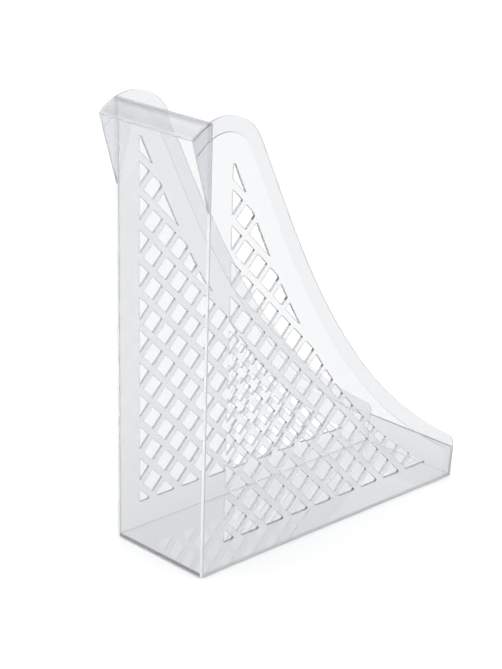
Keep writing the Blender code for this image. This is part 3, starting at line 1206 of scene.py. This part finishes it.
@dataclass
class CrossWalls:
    """The walls that run across the rack: spine, floor, front wall and handle lip.

    Each is a profile (x, z) carried from one side wall to the other. The half length grows with
    height, because the side walls lean out.

    Args:
        sizes: The moulding's sizes.
        end_tone: Tone of the walls' ends, against the side walls, painted pale: a painted highlight.
        lip_places: Places along the lip, in lengths of its overhang, from its tip to the spine.
        lip_tones: Painted tones there: a bright tip, and dark in the tight turn by the spine.
    """

    sizes: Moulding
    end_tone: float = 0.8 * Tone.RIM_HIGHLIGHT.value
    lip_places: Tuple[float, ...] = (-1.0, -0.97, -0.9, -0.55, -0.28, -0.2, 0.1)
    lip_tones: Tuple[float, ...] = (-0.35, -0.35, 0.45, 0.2, 0.1, 0.85, 1.0)

    def place(self, points: np.ndarray, normals: np.ndarray) -> Tuple[np.ndarray, np.ndarray]:
        """Turns depth into y: from minus to plus the half width at the point's height.

        Args:
            points: Rows (x, z, depth).
            normals: The same.

        Returns:
            Both in the rack's frame.
        """
        length = 2 * self.sizes.inner_half_width(0.0)
        half = self.sizes.inner_half_width(points[:, 1]) - self.sizes.seam
        y = half * (2 * points[:, 2] / length - 1)
        placed = np.stack((points[:, 0] - self.sizes.origin_x, y, points[:, 1]), axis=1)
        return placed, np.stack((normals[:, 0], normals[:, 2], normals[:, 1]), axis=1)

    def carried(
        self,
        profile: np.ndarray,
        radii: Sequence[float],
        end_tone: float,
        tone: Optional[Callable[[np.ndarray], np.ndarray]] = None,
    ) -> Plate:
        """A profile, its corners rounded, carried across the rack.

        Args:
            profile: Corners (x, z), plastic on the right.
            radii: Rounding of each corner.
            end_tone: Tone of the two end faces.
            tone: Gives the wall's tone at points of the outline; polished if left out.

        Returns:
            The plate.
        """
        outline = rounded(profile, np.array(radii))
        plate = Plate(2 * self.sizes.inner_half_width(0.0))
        size = len(outline.points)
        hair, none = np.full(size, HAIR / 2), np.zeros(size)
        tones = none if tone is None else tone(outline.points)
        rim = plate.add_rim(outline, hair, hair, none, none + end_tone, tones, end_tone, steps=1)
        plate.add_flat_face(rim[0], [])
        plate.add_flat_face(rim[-1], [])
        return plate

    def spine(self) -> Plate:
        """The tall flat back."""
        wall, top = self.sizes.wall, self.sizes.spine_top[1] - self.sizes.seam
        corners = np.array(((0.0, 0.0), (0.0, top), (wall, top), (wall, 0.0)))
        return self.carried(corners, (HEEL, HAIR, HAIR, HAIR), self.end_tone)

    def floor(self) -> Plate:
        """The floor between spine and front wall."""
        low = self.sizes.wall + self.sizes.seam
        high = self.sizes.body_depth - self.sizes.wall - self.sizes.seam
        corners = np.array(((low, 0.0), (low, self.sizes.wall), (high, self.sizes.wall), (high, 0.0)))
        return self.carried(corners, (HAIR,) * 4, self.end_tone)

    def front(self) -> Plate:
        """The low front wall, which leans forward."""
        face, top = self.sizes.body_depth, self.sizes.front_height
        back, lean = face - self.sizes.wall, top * math.tan(self.sizes.front_lean)
        corners = np.array(((back, 0.0), (back + lean, top), (face + lean, top), (face, 0.0)))
        return self.carried(corners, (HAIR, EDGE, EDGE, HEEL), self.end_tone)

    def lip(self) -> Plate:
        """The curled handle lip: a round from the spine's inner face, then the lip's arc to its tip.

        Returns:
            The plate, whose cut end is a little behind the tip on the underside.
        """
        sizes = self.sizes
        start, centre, low_radius = sizes.lip_start, sizes.lip_centre, sizes.lip_radius - sizes.wall
        cut = -sizes.lip_overhang + sizes.wall * sizes.tip_cut
        low_end = math.acos((cut - centre[0]) / low_radius)
        high_end = math.acos((-sizes.lip_overhang - centre[0]) / sizes.lip_radius)
        lower = arc(centre, low_radius, start, low_end, 24).points
        upper = arc(centre, sizes.lip_radius, high_end, start, 24).points
        turn = arc(sizes.spine_top, sizes.wall, start, 0.0, 16).points
        profile = np.vstack((lower, upper, turn[1:]))
        radii = np.full(len(profile), HAIR)
        radii[[len(lower) - 1, len(lower)]] = EDGE
        return self.carried(profile, radii, Tone.POLISHED.value, self.lip_tone)

    def lip_tone(self, points: np.ndarray) -> np.ndarray:
        """Painted light and shade of the lip's outline, by a point's distance behind the spine's outer face.
        """
        return np.interp(points[:, 0] / self.sizes.lip_overhang, self.lip_places, self.lip_tones)

    def build(self, clear: bpy.types.Material, base: bpy.types.Material, grip: bpy.types.Material) -> None:
        """Makes the four pieces and dresses them.

        Args:
            clear: Plastic of the spine and the front wall.
            base: A lighter copy of the plastic, for the floor: painted light.
            grip: A copy of the plastic, for the lip, with painted light and shade.
        """
        walls = (
            ("spine", self.spine(), "spine_panel", clear),
            ("rack_floor", self.floor(), "floor_panel", base),
            ("low_front", self.front(), "front_wall", clear),
            ("curled_lip", self.lip(), "handle_lip", grip),
        )
        for name, plate, node, material in walls:
            dress(plate.make(name, self.place), material, node)


# --------------------------------------------------------------------------- studio


@dataclass
class Studio:
    """The white board that the rack stands on, its even soft light, and the camera.

    Args:
        location: Place of the camera.
        yaw: Its turn from +Y towards +X.
        pitch: How far it looks down.
        roll: Its turn about its own line of sight.
        lens: Focal length in mm, on a sensor 36 mm long.
        room_strength: Strength of the white room's light.
        board_half: Half the board's side.
        board_drop: How far the board is below the rack, which keeps the two apart.
    """

    location: Tuple[float, float, float] = (-0.8665, -0.8500, 0.5751)
    yaw: float = math.radians(44.344)
    pitch: float = math.radians(20.356)
    roll: float = math.radians(1.444)
    lens: float = 105.1
    room_strength: float = 1.16
    board_half: float = 6.0
    board_drop: float = 0.0006

    def camera(self) -> None:
        """The camera, whose three axes come from yaw, pitch and roll."""
        forward = Vector(
            (
                math.sin(self.yaw) * math.cos(self.pitch),
                math.cos(self.yaw) * math.cos(self.pitch),
                -math.sin(self.pitch),
            )
        )
        right = Vector((math.cos(self.yaw), -math.sin(self.yaw), 0.0))
        down = forward.cross(right)
        turn = Matrix.Rotation(-self.roll, 3, forward)
        right, down = turn @ right, turn @ down
        data = bpy.data.cameras.new("studio_camera")
        data.lens, data.sensor_width, data.sensor_fit = self.lens, 36.0, "AUTO"
        data.clip_start, data.clip_end = 0.05, 50.0
        item = bpy.data.objects.new("studio_camera", data)
        axes = Matrix((right, -down, -forward)).transposed().to_4x4()
        item.matrix_world = Matrix.Translation(self.location) @ axes
        bpy.context.scene.collection.objects.link(item)
        bpy.context.scene.camera = item

    def board(self) -> None:
        """The pale board under the rack."""
        half = self.board_half
        corners = [(-half, -half, 0), (half, -half, 0), (half, half, 0), (-half, half, 0)]
        mesh = bpy.data.meshes.new("white_sweep")
        mesh.from_pydata(corners, [], [(0, 1, 2, 3)])
        mesh.materials.append(PaleBoard().make())
        item = bpy.data.objects.new("white_sweep", mesh)
        item.location.z = -self.board_drop
        bpy.context.scene.collection.objects.link(item)

    def light(self) -> None:
        """White surroundings, and enough bounces to see through several walls."""
        world = bpy.data.worlds.new("white_room")
        bpy.context.scene.world = world
        world.use_nodes = True
        shade = world.node_tree.nodes["Background"]
        shade.inputs["Color"].default_value = linear("#ffffff")
        shade.inputs["Strength"].default_value = self.room_strength
        cycles = bpy.context.scene.cycles
        cycles.max_bounces, cycles.transmission_bounces, cycles.glossy_bounces = 40, 40, 40
        cycles.diffuse_bounces, cycles.transparent_max_bounces = 8, 40
        cycles.blur_glossy = 0.0    # the filter would blur the plastic and darken the board under it
        view = bpy.context.scene.view_settings
        view.view_transform, view.look, view.exposure, view.gamma = "Standard", "None", 0.0, 1.0

    def build(self) -> None:
        """Camera, board and light."""
        self.camera()
        self.board()
        self.light()


def write_sizes() -> None:
    """Updates the view layer."""
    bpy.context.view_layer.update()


def main() -> None:
    """Builds the studio, the plastic with its copies in painted light and shade, and the rack wall by wall.
    """
    logging.basicConfig(level=logging.INFO, format="%(message)s")
    sizes = Moulding()
    spine_back = float(CAD_BOX[0][0]) + sizes.lip_overhang
    Studio().build()
    clear = ClearPolystyrene().make()
    # A copy of the plastic for the lip, with a lighter body and a darker grey: painted light and shade
    grip = ClearPolystyrene(
        name="moulded_clear_polystyrene_grip", body_colour="#f0f1f2", band_colour="#e0e1e4",
        shut_off_and_painted_shade_colour="#c2c3c8", clarity=0.95, gloss_roughness=0.03,
    ).make()
    # A lighter copy of the plastic for the floor: painted light
    base = ClearPolystyrene(name="moulded_clear_polystyrene_floor_painted_light", body_colour="#f6f6f7").make()
    # A darker copy of the plastic for the gussets: painted shade, deepest towards the spine
    ear = ClearPolystyrene(
        name="moulded_clear_polystyrene_ear", body_colour="#dadce0", band_colour="#d8d9dd",
        shut_off_and_painted_shade_colour="#c9cad0", clarity=0.95,
        painted_shade_from=spine_back - 0.0035, painted_shade_to=spine_back - 0.001, painted_shade_tone=0.9,
    ).make()
    CrossWalls(sizes).build(clear, base, grip)
    for side in Side:
        SideWall(side, sizes).build(clear, ear)
    write_sizes()


if __name__ == "__main__":
    main()
